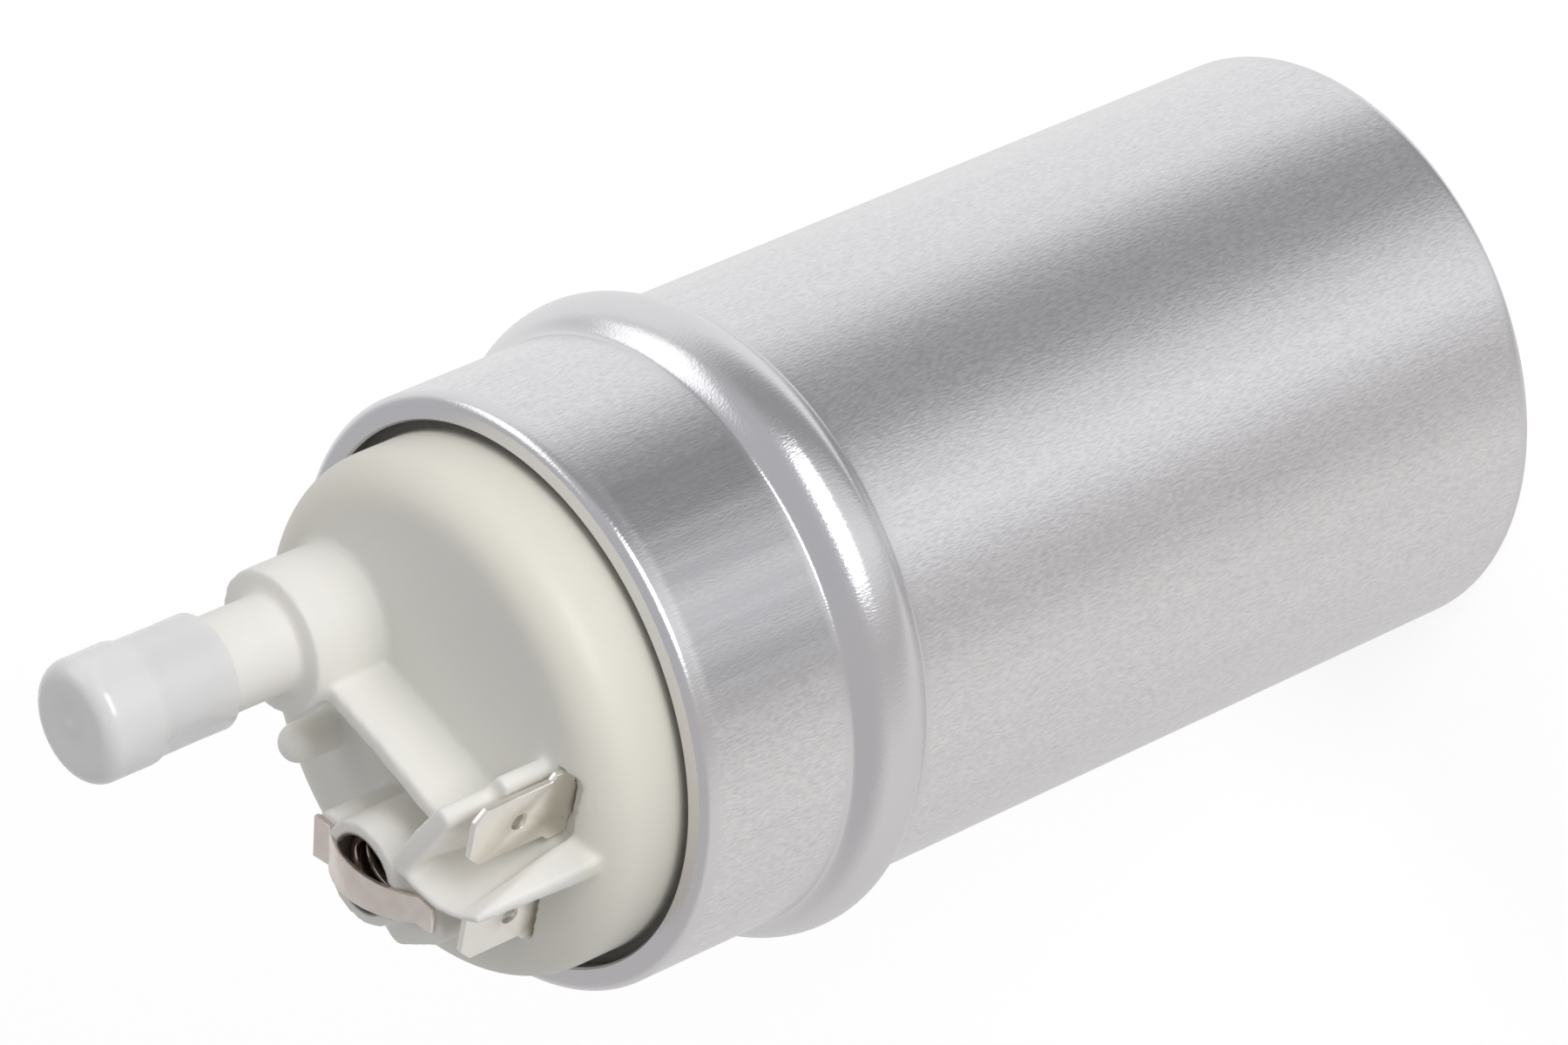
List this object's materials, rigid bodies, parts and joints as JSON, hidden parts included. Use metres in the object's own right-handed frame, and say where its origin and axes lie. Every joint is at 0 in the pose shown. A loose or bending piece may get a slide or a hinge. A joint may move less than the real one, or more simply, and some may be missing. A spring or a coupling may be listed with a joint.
{
  "type": "in-tank fuel pump",
  "caption": "Electric in-tank fuel pump: beaded steel can, white moulded outlet cover with capped hose nipple, relief valve, guarded blade terminals, brush motor and side-channel pump.",
  "frame": {"origin": "on the can's axis, in the plane of the inlet end's rolled lip", "axes": "+Z along the can's axis towards the outlet; the hose nipple lies on the +Y side"},
  "size_m": [0.0466, 0.0466, 0.1068],
  "materials": {
    "can_steel": "satin plated sheet with a fine drawn grain",
    "white_plastic": "moulded, semi-matte, slightly translucent",
    "milky_plastic": "soft translucent, glossy",
    "tin_plate": "dull tin plating with a warm tint",
    "spring_steel": "bright drawn wire",
    "bright_steel": "ground and polished",
    "black_rubber": "matte",
    "black_plastic": "moulded, matte",
    "ferrite": "matte, dark",
    "copper": "enamelled or bare copper",
    "bronze": "sintered, matte",
    "carbon": "matte carbon",
    "core_steel": "stacked sheet edges",
    "fibre": "pressed fibre board",
    "cast_alloy": "die cast, satin"
  },
  "bodies": {
    "pump": {"pump_can": "can_steel", "outlet_cover": "white_plastic", "cover_seal": "black_rubber", "check_valve_seat": "white_plastic", "check_valve_spring": "spring_steel", "relief_spring": "spring_steel", "relief_strap": "tin_plate", "inner_terminal": "tin_plate", "outer_terminal": "tin_plate", "choke_core_a": "ferrite", "choke_core_b": "ferrite", "choke_winding_a": "copper", "choke_winding_b": "copper", "contact_strip_a": "tin_plate", "contact_strip_b": "tin_plate", "brush_spring_a": "spring_steel", "brush_spring_b": "spring_steel", "brush_lead_a": "copper", "brush_lead_b": "copper", "upper_bush": "bronze", "lower_bush": "bronze", "thrust_pad": "bright_steel", "flux_ring": "core_steel", "magnet_a": "ferrite", "magnet_b": "ferrite", "magnet_clip_a": "spring_steel", "magnet_clip_b": "spring_steel", "pump_casing": "cast_alloy", "casing_seal": "black_rubber", "inlet_plate": "cast_alloy"},
    "rotor": {"shaft": "bright_steel", "impeller": "black_plastic", "armature_core": "core_steel", "armature_winding": "copper", "upper_end_insulator": "fibre", "lower_end_insulator": "fibre", "commutator_hub": "black_plastic", "commutator_segments": "copper", "upper_spacer": "fibre", "lower_spacer": "fibre"},
    "check_valve": {"check_valve_poppet": "black_plastic", "check_valve_seal": "black_rubber"},
    "relief_ball": {"relief_ball": "bright_steel"},
    "brush_a": {"brush_a": "carbon"},
    "brush_b": {"brush_b": "carbon"},
    "dust_cap": {"dust_cap": "milky_plastic"}
  },
  "joints": [
    {"name": "rotor_spin", "type": "hinge", "parent": "pump", "child": "rotor", "pos_m": [0, 0, 0], "axis": [0, 0, 1], "continuous": true},
    {"name": "check_valve_lift", "type": "slide", "parent": "pump", "child": "check_valve", "axis": [0, 0, 1], "range_m": [0, 0.002], "stiffness_N_per_m": 60, "springref_m": -0.004, "deforming": ["check_valve_spring"]},
    {"name": "relief_ball_lift", "type": "slide", "parent": "pump", "child": "relief_ball", "axis": [0, 0, 1], "range_m": [0, 0.0012], "stiffness_N_per_m": 400, "springref_m": -0.004, "deforming": ["relief_spring"]},
    {"name": "brush_a_travel", "type": "slide", "parent": "pump", "child": "brush_a", "axis": [0, 0, 1], "range_m": [0, 0.003], "stiffness_N_per_m": 80, "springref_m": -0.006, "deforming": ["brush_spring_a", "brush_lead_a"]},
    {"name": "brush_b_travel", "type": "slide", "parent": "pump", "child": "brush_b", "axis": [0, 0, 1], "range_m": [0, 0.003], "stiffness_N_per_m": 80, "springref_m": -0.006, "deforming": ["brush_spring_b", "brush_lead_b"]},
    {"name": "dust_cap_pull", "type": "slide", "parent": "pump", "child": "dust_cap", "axis": [0, 0, 1], "range_m": [0, 0.014]}
  ]
}
